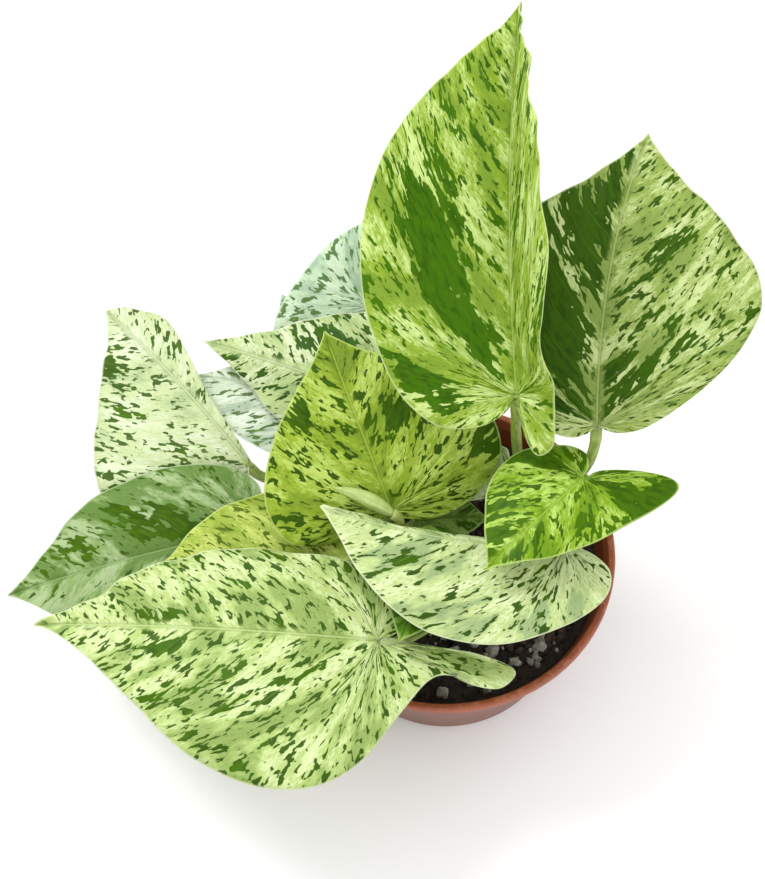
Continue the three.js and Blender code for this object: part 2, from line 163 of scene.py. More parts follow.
SHOULDER = [
    (0, 0), (-0.03, 0.12), (-0.04, 0.25), (-0.02, 0.42), (0.05, 0.6), (0.14, 0.74), (0.3, 0.9),
    (0.47, 1), (0.61, 0.84), (0.75, 0.47), (0.87, 0.18), (0.95, 0.05), (1, 0),
]
ROUND = [
    (0, 0), (-0.02, 0.13), (-0.005, 0.3), (0.05, 0.49), (0.13, 0.68), (0.24, 0.86), (0.36, 0.97),
    (0.46, 1), (0.6, 0.91), (0.75, 0.61), (0.87, 0.29), (0.95, 0.09), (1, 0),
]

# ---- Layout: the same stems and leaves as in the CAD model ----

VINES = {
    "left": ((-19, 2), (-24, 0, 60)),
    "front": ((5, -20), (8, -18, 58)),
    "right": ((21, 15), (26, 12, 66)),
    "back": ((7, 24), (11, 28, 72)),
    "far": ((-22, 18), (-28, 26, 62)),
    "rear": ((-5, 28), (-10, 34, 64)),
}


def leaf(base, heading, pitch, arch, length, half, vine, node, slope, **more):
    """One leaf. Pairs are (left half, right half), looking from the stalk to the tip."""
    plain = dict(
        swerve=0, fold=(0, 0), curl=(0, 0), lobe=(0.1, 0.1), lift=(0, 0), taper=(0, 0), unfold=(0, 0),
        outline=(None, None), slant=VEIN_SLANT, wave=1.0,
    )
    shape = dict(
        base=base, heading=heading, pitch=pitch, arch=arch, length=length, half=half,
        vine=vine, node=node, slope=slope,
    )
    return {**plain, **shape, **more}


LEAVES = {
    "01": leaf((20.5, 20, 116), 95, 36, -30, 120, (43, 35), "right", 64, 50,
               swerve=-12, fold=(0, 80), curl=(14, -5), lobe=(0.07, 0.16), lift=(0, 20), unfold=(0, 0.9),
               outline=(None, EAR), slant=1.5),
    "02": leaf((44, 15, 107), 89, 21, -20, 97, (33, 45), "right", 60, 35,
               swerve=-20, fold=(8, 4), curl=(-10, -8), lobe=(0.04, 0.02),
               outline=(SHOULDER, ROUND), slant=1.25),
    "03": leaf((40, 2, 99), -136, 5, -25, 40, (21, 20), "right", 54, 60,
               curl=(-10, -10), lobe=(0.45, 0.18), outline=(BARB, None)),
    "04": leaf((35, -12, 84), 186, 9, -14, 74, (31, 12), "front", 50, 50,
               swerve=-30, fold=(0, -50), curl=(-12, -20), lobe=(0.17, 0.1)),
    "05": leaf((-16, 3, 77), 118, 49, -50, 60, (40, 44), "left", 54, 60,
               swerve=-10, fold=(-5, 15), curl=(-10, -10), lobe=(0.05, 0.12), taper=(0.5, 0.5)),
    "06": leaf((17, 22, 81), 157, 8, -26, 106, (24, 30), "back", 58, 60,
               swerve=-5, fold=(-35, 12), curl=(-10, -10), lobe=(0.04, 0.1),
               outline=(None, WAIST), wave=1.3),
    "07": leaf((-31, 47, 63), 166, 10, -20, 52, (24, 12), "far", 60, 15,
               fold=(10, 0), curl=(-10, -10), lobe=(0.05, 0.02)),
    "08": leaf((-61, 25, 66), 131, 16, -32, 77, (50, 13), "far", 57, 25,
               fold=(-14, 10), curl=(-10, -20), taper=(0.5, 0.1), outline=(None, SPOON)),
    "09": leaf((-58, 4, 63), -171, -7, -16, 84, (30, 25), "left", 50, 30,
               fold=(-12, 24), curl=(-10, -10), lobe=(0.1, 0.04), wave=1.3),
    "10": leaf((-28, -9, 71), -177, 0, -20, 66, (24, 23), "left", 53, 40,
               fold=(0, 10), curl=(-5, -5)),
    "11": leaf((-20, -38, 74), 178, 8, -40, 112, (48, 27), "front", 57, 15,
               swerve=-12, fold=(0, 8), curl=(-20, -8), lobe=(0.1, 0.08), taper=(0.2, 0.1),
               outline=(FLAP, None), wave=1.6),
    "12": leaf((2, -4, 69), -112, 26, -20, 43, (15, 14), "front", 53, 60,
               fold=(10, 10), curl=(-10, -10)),
    "13": leaf((-24, 75, 80), 66, 34, -20, 36, (27, 14), "rear", 62, 40,
               fold=(10, 10), curl=(-10, -10), lobe=(0.45, 0.1), outline=(BARB, None)),
    "14": leaf((-34, 67, 66), 133, 13, -20, 29, (16, 7), "rear", 54, 40,
               fold=(10, 10), curl=(-10, -10), lobe=(0.1, 0.02)),
    "15": leaf((-8, 9, 60), 0, 10, -15, 22, (9, 9), "left", 49, 60,
               fold=(10, 10), curl=(-10, -10)),
}

SPEAR = dict(foot=(-15, 0, 80), tip=(-33, 5, 88), radius=2.3, vine="left", node=59)
SPEAR_PROFILE = [(0, 0), (0.45, 0.02), (0.85, 0.2), (1, 0.42), (0.7, 0.7), (0.3, 0.92), (0, 1)]

# ---- How each blade is marbled ----
# cream, tint and dark are the pale tissue, its greener parts and the dark patches, as they look in
# white light. much: share of patches. fleck: share of flecks. haze: share of blurred grey-green patches.
# patches: (foot, reach, foot radius, reach radius, strength) of the large ones, where foot runs along
# the midrib from 0 to 1 (and behind 0 into the lobes) and reach from the midrib to the margin, left
# half positive.

MARBLING = {
    "01": dict(cream=(212, 234, 146), tint=(146, 178, 44), dark=(54, 96, 0), haze_tone=(132, 164, 60),
               much=0.37, fleck=0.6, haze=0.45,
               patches=[(0.12, 0.5, 0.17, 0.42, 0.3), (-0.4, 0.72, 0.1, 0.24, 0.26),
                        (0.5, 0.5, 0.1, 0.4, 0.08)]),
    "02": dict(cream=(210, 226, 156), tint=(152, 176, 84), dark=(46, 80, 0), haze_tone=(136, 160, 80),
               much=0.36, fleck=0.66, haze=0.4,
               patches=[(0.3, 0.55, 0.9, 0.6, 0.28), (0.1, -0.25, 0.12, 0.25, 0.22),
                        (0.42, -0.4, 0.1, 0.3, 0.12)]),
    "03": dict(cream=(190, 222, 108), tint=(132, 170, 28), dark=(56, 94, 0), haze_tone=(108, 150, 30),
               much=0.56, fleck=0.85, haze=0.5,
               patches=[(-0.5, 0.9, 0.25, 0.25, 0.2), (-0.4, -0.6, 0.2, 0.4, 0.14)]),
    "04": dict(cream=(232, 246, 190), tint=(194, 214, 140), dark=(50, 84, 6), haze_tone=(150, 174, 122),
               much=0.14, fleck=0.66, haze=0.45,
               patches=[(0.5, 0.5, 0.07, 0.2, 0.22), (0.66, 0.35, 0.05, 0.16, 0.22),
                        (-0.2, 0.7, 0.08, 0.25, 0.2)]),
    "05": dict(cream=(196, 220, 108), tint=(148, 176, 46), dark=(48, 82, 0), haze_tone=(122, 150, 46),
               much=0.3, fleck=0.78, haze=0.45,
               patches=[(0.35, 0.85, 0.14, 0.2, 0.26), (0.02, 0.6, 0.12, 0.22, 0.2),
                        (0.3, -0.5, 0.1, 0.2, 0.22), (-0.3, -0.85, 0.12, 0.2, 0.2)]),
    "06": dict(cream=(228, 240, 196), tint=(192, 212, 144), dark=(48, 86, 8), haze_tone=(160, 184, 120),
               much=0.34, fleck=0.85, haze=0.3,
               patches=[(0.5, -0.6, 0.12, 0.22, 0.26), (0.15, -0.4, 0.1, 0.25, 0.24),
                        (-0.1, -0.7, 0.1, 0.2, 0.2)]),
    "07": dict(cream=(240, 250, 232), tint=(216, 230, 202), dark=(90, 122, 60), haze_tone=(170, 190, 168),
               much=0.16, fleck=0.72, haze=0.55, patches=[]),
    "08": dict(cream=(226, 236, 200), tint=(206, 222, 164), dark=(62, 96, 20), haze_tone=(180, 200, 148),
               much=0.24, fleck=0.8, haze=0.3,
               patches=[(0.8, 0.15, 0.1, 0.3, 0.26), (0.6, 0.85, 0.08, 0.14, 0.26),
                        (0.3, 0.7, 0.07, 0.2, 0.22), (0.12, 0.3, 0.06, 0.2, 0.2)]),
    "09": dict(cream=(178, 200, 146), tint=(136, 168, 92), dark=(58, 92, 8), haze_tone=(98, 134, 58),
               much=0.22, fleck=0.5, haze=0.8,
               patches=[(0.25, -0.3, 0.15, 0.4, 0.2), (0.35, -0.5, 0.6, 0.7, 0.14)]),
    "10": dict(cream=(212, 228, 118), tint=(164, 188, 72), dark=(84, 112, 8), haze_tone=(144, 168, 56),
               much=0.12, fleck=0.75, haze=0.45, patches=[]),
    "11": dict(cream=(222, 238, 174), tint=(184, 208, 122), dark=(54, 90, 6), haze_tone=(144, 170, 92),
               much=0.24, fleck=0.78, haze=0.5,
               patches=[(0.6, -0.2, 0.13, 0.17, 0.24), (0.5, 0.35, 0.07, 0.2, 0.2),
                        (0.4, 0.85, 0.07, 0.2, 0.2), (0.28, 0.5, 0.12, 0.3, 0.1)]),
    "12": dict(cream=(150, 182, 80), tint=(104, 146, 44), dark=(50, 92, 4), haze_tone=(90, 134, 36),
               much=0.6, fleck=0.6, haze=0.5, patches=[]),
    "13": dict(cream=(232, 250, 222), tint=(206, 232, 194), dark=(96, 132, 72), haze_tone=(170, 196, 170),
               much=0.2, fleck=0.8, haze=0.5, patches=[]),
    "14": dict(cream=(206, 226, 200), tint=(172, 202, 166), dark=(72, 116, 52), haze_tone=(150, 182, 148),
               much=0.36, fleck=0.6, haze=0.5, patches=[]),
    "15": dict(cream=(148, 178, 88), tint=(106, 142, 50), dark=(48, 84, 8), haze_tone=(88, 126, 38),
               much=0.5, fleck=0.5, haze=0.5, patches=[]),
}


# ---- Node trees ----

def light(colour):
    """The shader colour that looks like this one, from 0 to 255 on a screen, under the studio's light."""
    parts = [c / 255 for c in colour]
    linear = [p / 12.92 if p <= 0.04045 else ((p + 0.055) / 1.055) ** 2.4 for p in parts]
    return (*[value / STUDIO_GAIN for value in linear], 1.0)


class Shader:
    """A material made by short calls, each of which returns a socket."""

    def __init__(self, name):
        self.material = bpy.data.materials.new(name)
        self.material.use_nodes = True
        self.tree = self.material.node_tree
        self.skin = next(n for n in self.tree.nodes if n.type == "BSDF_PRINCIPLED")

    def feed(self, socket, value):
        if isinstance(value, bpy.types.NodeSocket):
            self.tree.links.new(value, socket)
        else:
            socket.default_value = value

    def node(self, kind, **settings):
        made = self.tree.nodes.new("ShaderNode" + kind)
        for key, value in settings.items():
            setattr(made, key, value)
        return made

    def attribute(self, name):
        return self.node("Attribute", attribute_name=name).outputs["Vector"]

    def place(self):
        """Where the point is on the object, in millimetres."""
        return self.stretched(self.node("TexCoord").outputs["Object"], (1000, 1000, 1000))

    def split(self, vector):
        made = self.node("SeparateXYZ")
        self.feed(made.inputs[0], vector)
        return made.outputs

    def stretched(self, vector, scale, shift=(0, 0, 0)):
        made = self.node("Mapping")
        self.feed(made.inputs["Vector"], vector)
        made.inputs["Scale"].default_value = scale
        made.inputs["Location"].default_value = shift
        return made.outputs[0]

    def noise(self, vector, scale=1.0, detail=2.0, roughness=0.5, distortion=0.0):
        made = self.node("TexNoise")
        self.feed(made.inputs["Vector"], vector)
        made.inputs["Scale"].default_value = scale
        made.inputs["Detail"].default_value = detail
        made.inputs["Roughness"].default_value = roughness
        made.inputs["Distortion"].default_value = distortion
        return made.outputs["Fac"]

    def cells(self, vector):
        made = self.node("TexVoronoi", feature="DISTANCE_TO_EDGE")
        self.feed(made.inputs["Vector"], vector)
        made.inputs["Scale"].default_value = 1.0
        return made.outputs["Distance"]

    def math(self, operation, a, b=0.0):
        made = self.node("Math", operation=operation)
        self.feed(made.inputs[0], a)
        self.feed(made.inputs[1], b)
        return made.outputs[0]

    def total(self, first, *terms):
        """first plus each (value, weight)."""
        for value, weight in terms:
            first = self.math("ADD", first, self.math("MULTIPLY", value, weight))
        return first

    def ramp(self, value, low, high, at_low=0.0, at_high=1.0):
        made = self.node("MapRange", interpolation_type="SMOOTHSTEP")
        for key, item in (("Value", value), ("From Min", low), ("From Max", high),
                          ("To Min", at_low), ("To Max", at_high)):
            self.feed(made.inputs[key], item)
        return made.outputs[0]

    def mix(self, factor, a, b):
        made = self.node("Mix", data_type="RGBA")
        self.feed(made.inputs[0], factor)
        self.feed(made.inputs[6], a)
        self.feed(made.inputs[7], b)
        return made.outputs[2]

    def bump(self, height, distance, strength):
        made = self.node("Bump")
        made.inputs["Strength"].default_value = strength
        made.inputs["Distance"].default_value = distance * MM
        self.feed(made.inputs["Height"], height)
        return made.outputs[0]

    def finish(self, colour, roughness, normal=None, **constants):
        self.feed(self.skin.inputs["Base Color"], colour)
        self.feed(self.skin.inputs["Roughness"], roughness)
        if normal is not None:
            self.feed(self.skin.inputs["Normal"], normal)
        for key, value in constants.items():
            self.skin.inputs[key.replace("_", " ")].default_value = value
        return self.material


def blade_material(key, look):
    """Marbled waxy leaf. vein: millimetres across and along the side veins. skin: patch field,
    distance from the midrib, distance from the margin. under: 1 on the underside."""
    s = Shader("blade_skin_" + key)
    vein = s.attribute("vein")
    skin = s.split(s.attribute("skin"))
    under = s.split(s.attribute("under"))[0]
    field, from_rib, from_margin = skin[0], skin[1], skin[2]

    wander = s.noise(s.stretched(vein, (0.05, 0.05, 1)), 1, 1)
    broad = s.noise(s.stretched(vein, (0.13, 0.038, 1)), 1, 3, 0.6, 0.25)
    streak = s.noise(s.stretched(vein, (0.4, 0.09, 1), (31, 7, 3)), 1, 2, 0.6, 0.3)
    middle = s.noise(s.stretched(vein, (0.68, 0.27, 1), (3, 57, 13)), 1, 1, 0.5, 0.5)
    fine = s.noise(s.stretched(vein, (1.9, 0.65, 1), (5, 47, 9)), 1, 2, 0.6, 0.3)
    soft = s.noise(s.stretched(vein, (0.13, 0.055, 1), (17, 3, 5)), 1, 2, 0.5)

    rib_fade = s.ramp(from_rib, 0.3, 2.5)
    patch_level = s.total(broad, (streak, 0.5), (middle, 0.45), (fine, 0.1), (field, 1.0))
    edge = 1.34 - 0.5 * look["much"]
    dark = s.math("MULTIPLY", s.ramp(patch_level, edge - 0.014, edge + 0.014), rib_fade)
    fleck_level = s.total(middle, (fine, 0.18), (streak, 0.22), (broad, 0.2), (field, 0.15))
    fleck_edge = 1.045 - 0.2 * look["fleck"]
    fleck = s.math("MULTIPLY", s.ramp(fleck_level, fleck_edge - 0.012, fleck_edge + 0.014), rib_fade)
    speck = s.ramp(s.total(fine, (middle, 0.3), (soft, 0.2)), 0.92 - 0.06 * look["fleck"], 0.945)
    haze_level = s.total(soft, (middle, 0.3), (field, 0.4))
    haze_edge = 0.84 - 0.25 * look["haze"]
    haze = s.ramp(haze_level, haze_edge - 0.05, haze_edge + 0.06)

    pale = s.mix(s.ramp(s.total(soft, (fine, 0.5)), 0.62, 0.84), light(look["cream"]), light(look["tint"]))
    pale = s.mix(s.ramp(s.total(streak, (fine, 0.4)), 0.6, 0.82, 0.0, 0.8), pale, light(look["tint"]))
    pale = s.mix(s.math("MULTIPLY", haze, 0.75), pale, light(look["haze_tone"]))
    deep = light(look["dark"])
    lit = (1.7 * deep[0], 1.55 * deep[1], deep[2], 1.0)
    green = s.mix(s.ramp(s.total(middle, (wander, 0.6)), 0.6, 0.95), deep, lit)
    body = s.mix(s.math("MULTIPLY", speck, 0.6), pale, green)
    body = s.mix(s.math("MULTIPLY", fleck, 0.97), body, deep)
    body = s.mix(dark, body, green)

    spacing = s.math("ADD", s.math("MULTIPLY", s.split(vein)[0], 0.16), s.math("MULTIPLY", wander, 0.6))
    lines = s.math("ABSOLUTE", s.math("SUBTRACT", s.math("FRACT", spacing), 0.5))
    veinline = s.math("MULTIPLY", s.ramp(lines, 0.0, 0.04, 1.0, 0.0), s.ramp(from_margin, 0.0, 14.0))
    body = s.mix(s.math("MULTIPLY", veinline, 0.16), body, light(look["tint"]))
    rib_tone = light(tuple(0.5 * a + 0.5 * b for a, b in zip(look["cream"], look["tint"])))
    # Painted shade: a darker green band either side of the pale midrib, for the shade at the edges of its
    # groove.
    body = s.mix(s.ramp(from_rib, 0.3, 0.9, 0.35, 0.0), body, green)
    body = s.mix(s.ramp(from_rib, 0.12, 0.42, 0.7, 0.0), body, rib_tone)
    rim_tone = light(tuple(0.85 * c + 38 for c in look["cream"]))
    body = s.mix(s.ramp(from_margin, 0.15, 0.75, 0.8, 0.0), body, rim_tone)
    beneath = s.mix(0.35, body, light(tuple(0.5 * c + 90 for c in look["tint"])))
    body = s.mix(under, body, beneath)

    mesh_cells = s.cells(s.stretched(vein, (0.9, 0.7, 1)))
    height = s.total(s.math("MULTIPLY", fine, 0.35), (mesh_cells, 0.5), (veinline, -0.8), (middle, 0.35))
    normal = s.bump(height, 0.16, 0.6)
    gloss = s.total(0.36, (middle, 0.14), (under, 0.16))
    return s.finish(body, gloss, normal, Subsurface_Weight=0.05, Subsurface_Radius=(0.5, 1.0, 0.2),
                    Subsurface_Scale=0.0008, Specular_IOR_Level=0.08)


def stalk_material(name, fresh, aged, blush):
    s = Shader(name)
    run = s.attribute("run")
    along = s.split(run)
    streak = s.noise(s.stretched(run, (0.04, 3.0, 1)), 1, 3, 0.6)
    mottle = s.noise(s.stretched(run, (0.5, 1.6, 1)), 1, 3, 0.6)
    colour = s.mix(s.ramp(s.total(streak, (mottle, 0.4)), 0.55, 0.85), light(fresh), light(aged))
    colour = s.mix(s.ramp(along[2], 0.75, 1.0, 0.0, 0.5), colour, light(blush))
    colour = s.mix(s.ramp(mottle, 0.66, 0.72, 0.0, 0.35), colour, light(tuple(0.7 * c for c in aged)))
    normal = s.bump(s.total(streak, (mottle, 0.6)), 0.25, 0.5)
    return s.finish(colour, s.total(0.38, (mottle, 0.15)), normal,
                    Subsurface_Weight=0.1, Subsurface_Radius=(0.5, 1.0, 0.2), Subsurface_Scale=0.001)


def pot_material():
    s = Shader("pot_terracotta_plastic")
    place = s.place()
    height = s.split(place)[2]
    clouds = s.noise(place, 0.05, 3, 0.6)
    grain = s.noise(place, 1.8, 3, 0.7)
    rings = s.noise(s.stretched(place, (0.02, 0.02, 2.2)), 1, 2, 0.6)
    specks = s.noise(place, 0.9, 2, 0.5)
    wall = s.mix(s.ramp(clouds, 0.35, 0.7), light((116, 54, 24)), light((132, 64, 30)))
    wall = s.mix(s.ramp(rings, 0.45, 0.7, 0.0, 0.3), wall, light((108, 46, 24)))
    # Painted light: the lip is coloured lighter than the wall below it, for the light that falls on the rim
    # while the wall lies in shade.
    lip_painted_light = s.mix(s.ramp(clouds, 0.35, 0.65), light((150, 72, 36)), light((168, 86, 46)))
    colour = s.mix(s.ramp(height, 52.2, 53.2), wall, lip_painted_light)
    colour = s.mix(s.ramp(specks, 0.68, 0.71, 0.0, 0.65), colour, light((70, 40, 28)))
    # Paler, rougher patches along the top of the rim.
    pale_rim_top = s.math("MULTIPLY", s.ramp(height, 55.3, 56.0), s.ramp(s.noise(place, 0.35, 4, 0.7), 0.5, 0.66))
    colour = s.mix(s.math("MULTIPLY", pale_rim_top, 0.5), colour, light((206, 132, 100)))
    normal = s.bump(s.total(grain, (rings, 0.8)), 0.12, 0.5)
    return s.finish(colour, s.total(0.36, (grain, 0.12), (pale_rim_top, 0.15)), normal)


def soil_material():
    s = Shader("moist_peat")
    place = s.place()
    clumps = s.noise(place, 0.35, 4, 0.7)
    grain = s.noise(place, 1.6, 4, 0.75)
    colour = s.mix(s.ramp(s.total(clumps, (grain, 0.5)), 0.6, 0.95), light((26, 19, 15)), light((62, 48, 38)))
    normal = s.bump(s.total(clumps, (grain, 0.7)), 0.8, 0.9)
    return s.finish(colour, s.total(0.55, (grain, 0.4)), normal)


def crumb_material():
    s = Shader("peat_crumb")
    place = s.place()
    tone = s.noise(place, 0.22, 2, 0.6)
    grain = s.noise(place, 2.4, 3, 0.7)
    colour = s.mix(s.ramp(tone, 0.35, 0.7), light((30, 22, 17)), light((84, 64, 48)))
    colour = s.mix(s.ramp(grain, 0.5, 0.7, 0.0, 0.5), colour, light((22, 16, 12)))
    return s.finish(colour, 0.85, s.bump(grain, 0.3, 0.8))


def perlite_material():
    s = Shader("perlite_grain")
    place = s.place()
    tone = s.noise(place, 0.25, 2, 0.6)
    pits = s.noise(place, 2.8, 3, 0.7)
    colour = s.mix(s.ramp(tone, 0.35, 0.7), light((150, 142, 134)), light((214, 208, 200)))
    colour = s.mix(s.ramp(pits, 0.52, 0.72, 0.0, 0.7), colour, light((88, 78, 70)))
    return s.finish(colour, 0.9, s.bump(pits, 0.35, 0.9))


# ---- Meshes ----

def new_piece(name, points, faces, material, nodes, attributes=None):
    """A smooth mesh in millimetres that rides on the plant and stands for the given CAD nodes."""
    mesh = bpy.data.meshes.new(name)
    mesh.from_pydata((np.asarray(points) * MM).tolist(), [], faces)
    mesh.polygons.foreach_set("use_smooth", [True] * len(mesh.polygons))
    for key, values in (attributes or {}).items():
        layer = mesh.attributes.new(key, "FLOAT_VECTOR", "POINT")
        layer.data.foreach_set("vector", np.asarray(values, np.float32).ravel())
    mesh.materials.append(material)
    mesh.update()
    piece = bpy.data.objects.new(name, mesh)
    bpy.context.scene.collection.objects.link(piece)
    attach(piece, BODY)
    if nodes:
        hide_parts(*nodes)
    return piece


def unit(vectors):
    size = np.linalg.norm(vectors, axis=-1, keepdims=True)
    return vectors / np.maximum(size, 1e-12)


def smoothstep(value, low, high):
    t = np.clip((value - low) / (high - low), 0, 1)
    return t * t * (3 - 2 * t)


def bezier(controls, count):
    t = np.linspace(0, 1, count)[:, None]
    a, b, c, d = [np.asarray(p, float) for p in controls]
    return (1 - t) ** 3 * a + 3 * (1 - t) ** 2 * t * b + 3 * (1 - t) * t**2 * c + t**3 * d


def resample(path, values, count):
    """Evenly spaced points along a path, with the values carried along."""
    steps = np.linalg.norm(np.diff(path, axis=0), axis=1)
    run = np.concatenate([[0], np.cumsum(steps)])
    at = np.linspace(0, run[-1], count)
    spread = [np.interp(at, run, path[:, k]) for k in range(3)]
    return np.stack(spread, 1), np.interp(at, run, values), at


def ring_faces(rings, sides, first, last):
    """Quads between rings of points, and fans that close the two ends on the points first and last."""
    faces = []
    for i in range(rings - 1):
        a, b = i * sides, (i + 1) * sides
        for j in range(sides):
            k = (j + 1) % sides
            faces.append((a + j, a + k, b + k, b + j))
    end = (rings - 1) * sides
    for j in range(sides):
        k = (j + 1) % sides
        faces.append((first, k, j))
        faces.append((last, end + j, end + k))
    return faces


def tube(path, radii, sides, section, upward):
    """A closed tube. section(angle, share) scales the radius; angle 0 faces upward."""
    ahead = unit(np.gradient(path, axis=0))
    side = unit(np.cross(ahead, upward))
    top = np.cross(side, ahead)
    angles = np.linspace(0, 2 * np.pi, sides, endpoint=False)
    count = len(path)
    share = np.linspace(0, 1, count)[:, None]
    reach = radii[:, None] * section(angles[None, :], share)
    rings = path[:, None] + reach[..., None] * (
        np.cos(angles)[None, :, None] * top[:, None] + np.sin(angles)[None, :, None] * side[:, None]
    )
    points = np.concatenate([rings.reshape(-1, 3), path[:1], path[-1:]])
    return points, ring_faces(count, sides, count * sides, count * sides + 1)


def tube_marks(run, share, sides):
    """For each point of a tube: length along it, cosine of its place round it, and how aged it looks."""
    angle = np.linspace(0, 2 * np.pi, sides, endpoint=False)
    rings = [np.repeat(run, sides), np.tile(np.cos(angle), len(run)), np.repeat(share, sides)]
    return np.concatenate([np.stack(rings, 1), [[run[0], 0, 0], [run[-1], 0, share[-1]]]])


# ---- Leaf blades ----

def along_outline(points, t):
    """A smooth line through the outline's points, at t from 0 to 1."""
    p = np.asarray(points, float)
    p = np.concatenate([[2 * p[0] - p[1]], p, [2 * p[-1] - p[-2]]])
    spans = len(points) - 1
    i = np.minimum(np.floor(t * spans).astype(int), spans - 1)
    f = (t * spans - i)[:, None]
    a, b, c, d = p[i], p[i + 1], p[i + 2], p[i + 3]
    return 0.5 * (2 * b + (c - a) * f + (2 * a - 5 * b + 4 * c - d) * f**2 + (3 * b - a - 3 * c + d) * f**3)


def rib_frame(lf, u):
    """The directions ahead, to the left and up at u of the way along the midrib."""
    heading = np.radians(lf["heading"] + lf["swerve"] * u)
    pitch = np.radians(lf["pitch"] + lf["arch"] * u)
    ahead = np.stack([np.cos(pitch) * np.cos(heading), np.cos(pitch) * np.sin(heading), np.sin(pitch)], -1)
    left = np.stack([-np.sin(heading), np.cos(heading), 0 * heading], -1)
    return ahead, left, np.cross(ahead, left)


def rib_points(lf, u):
    """Points on the midrib."""
    fine = np.linspace(0, 1, RIB_STEPS + 1)
    ahead, _, _ = rib_frame(lf, (fine[:-1] + fine[1:]) / 2)
    path = np.concatenate([[np.zeros(3)], np.cumsum(ahead * lf["length"] / RIB_STEPS, axis=0)])
    spread = [np.interp(u, fine, path[:, k]) for k in range(3)]
    return np.stack(spread, -1) + np.asarray(lf["base"], float)


def bend(lf, half, x, y):
    """Where the flat blade's point x, y lies on the bent blade."""
    side = 1 if half == 0 else -1
    width = lf["half"][half]
    u = np.clip(x / lf["length"], 0, 1)
    ahead, left, up = rib_frame(lf, u)
    in_lobe = smoothstep(LOBE_REACH * lf["length"] - x, 0, (LOBE_REACH + lf["lobe"][half]) * lf["length"])
    fold = np.radians(lf["fold"][half]) * (1 - lf["unfold"][half] * in_lobe)
    turn_rate = np.radians(lf["curl"][half] + lf["lift"][half] * in_lobe)
    turn_rate = np.where(np.abs(turn_rate) < 1e-4, 1e-4, turn_rate)
    turn = fold + turn_rate * y / width
    out = width / turn_rate * (np.sin(turn) - np.sin(fold))
    rise = -width / turn_rate * (np.cos(turn) - np.cos(fold))
    behind = np.minimum(x, 0)[..., None]
    return rib_points(lf, u) + ahead * behind + left * (side * out)[..., None] + up * rise[..., None]


def half_rows(lf, half):
    """Flat points of one half in rows along its side veins, with each point's place in the veins."""
    length, width = lf["length"], lf["half"][half]
    outline = lf["outline"][half] or heart_outline(lf["lobe"][half])
    outline = [(x, y * (1 - lf["taper"][half] * min(max(x, 0), 1))) for x, y in outline]

    def margin_at(t):
        p = along_outline(outline, np.atleast_1d(t))
        return np.stack([p[:, 0] * length, np.maximum(p[:, 1], 0) * width], 1)

    dense = np.linspace(0, 1, MARGIN_SAMPLES)
    margin = margin_at(dense)
    feet = margin[:, 0] - lf["slant"] * margin[:, 1]
    feet = np.minimum.accumulate(feet[::-1])[::-1]
    fan_end = float(np.interp(0, feet, dense)) if feet[0] < 0 else 0.0
    fan_t = np.linspace(0, fan_end, FAN_SAMPLES)
    fan_steps = np.linalg.norm(np.diff(margin_at(fan_t), axis=0), axis=1)
    fan_run = np.concatenate([[0], np.cumsum(fan_steps)])
    fan_rows = max(1, int(fan_run[-1] / ROW_PITCH))
    fan_at = np.linspace(0, fan_run[-1], fan_rows + 1)
    foot_rows = int(length / ROW_PITCH)
    foot = length * np.arange(1, foot_rows + 1) / foot_rows
    t = np.concatenate([np.interp(fan_at, fan_run, fan_t), np.interp(foot, feet, dense)])
    t[-1] = 1
    start = np.stack([np.concatenate([np.zeros(fan_rows + 1), foot]), np.zeros(len(t))], 1)
    end = margin_at(t)
    run = end - start
    forward = np.clip(run[:, 0] / np.maximum(np.linalg.norm(run, axis=1), 1e-9), 0, 1)[:, None]
    bow = start + run / 2 + VEIN_BOW * forward * np.stack([-run[:, 1], run[:, 0]], 1)
    bow[:, 1] = np.maximum(bow[:, 1], 0)
    w = ((np.arange(COLUMNS + 1) / COLUMNS) ** COLUMN_CROWDING)[None, :, None]
    flat = (1 - w) ** 2 * start[:, None] + 2 * w * (1 - w) * bow[:, None] + w**2 * end[:, None]
    across = np.concatenate([RUN_PER_FAN * (fan_at - fan_run[-1]), RUN_PER_RIB * foot])
    reach = np.linalg.norm(run, axis=1)[:, None] * w[..., 0]
    return flat, across[:, None] + 0 * reach, reach, w[..., 0] + 0 * reach, fan_rows


def make_blade(lf, seed):
    """The blade as an open sheet. Its two halves share the midrib, and rows of no length are one point."""
    points, values, faces, midrib = [], [], [], {}
    for half in (0, 1):
        flat, across, reach, w, fan_rows = half_rows(lf, half)
        placed = bend(lf, half, flat[..., 0], flat[..., 1])
        side = 1 if half == 0 else -1
        length = reach[:, -1:]
        marks = np.stack([across, side * reach, w, np.abs(flat[..., 1]), length - reach], -1)
        rows, columns = reach.shape
        index = np.zeros((rows, columns), int)
        for i in range(rows):
            foot = max(i - fan_rows, 0)
            if foot not in midrib:
                midrib[foot] = len(points)
                points.append(placed[fan_rows + foot, 0])
                values.append(marks[fan_rows + foot, 0])
            index[i] = midrib[foot]
            if length[i, 0] < SHORTEST_ROW:
                continue
            for j in range(1, columns):
                index[i, j] = len(points)
                points.append(placed[i, j])
                values.append(marks[i, j])
        for i in range(rows - 1):
            for j in range(columns - 1):
                ring = [index[i, j], index[i + 1, j], index[i + 1, j + 1], index[i, j + 1]]
                ring = [int(v) for v in dict.fromkeys(ring)]
                if len(ring) >= 3:
                    faces.append(tuple(ring if half == 0 else ring[::-1]))
    points, values = np.array(points), np.array(values)
    normals = vertex_normals(points, faces)
    points = points + normals * relief(lf, values, seed)[:, None]
    return points, values, faces, vertex_normals(points, faces)


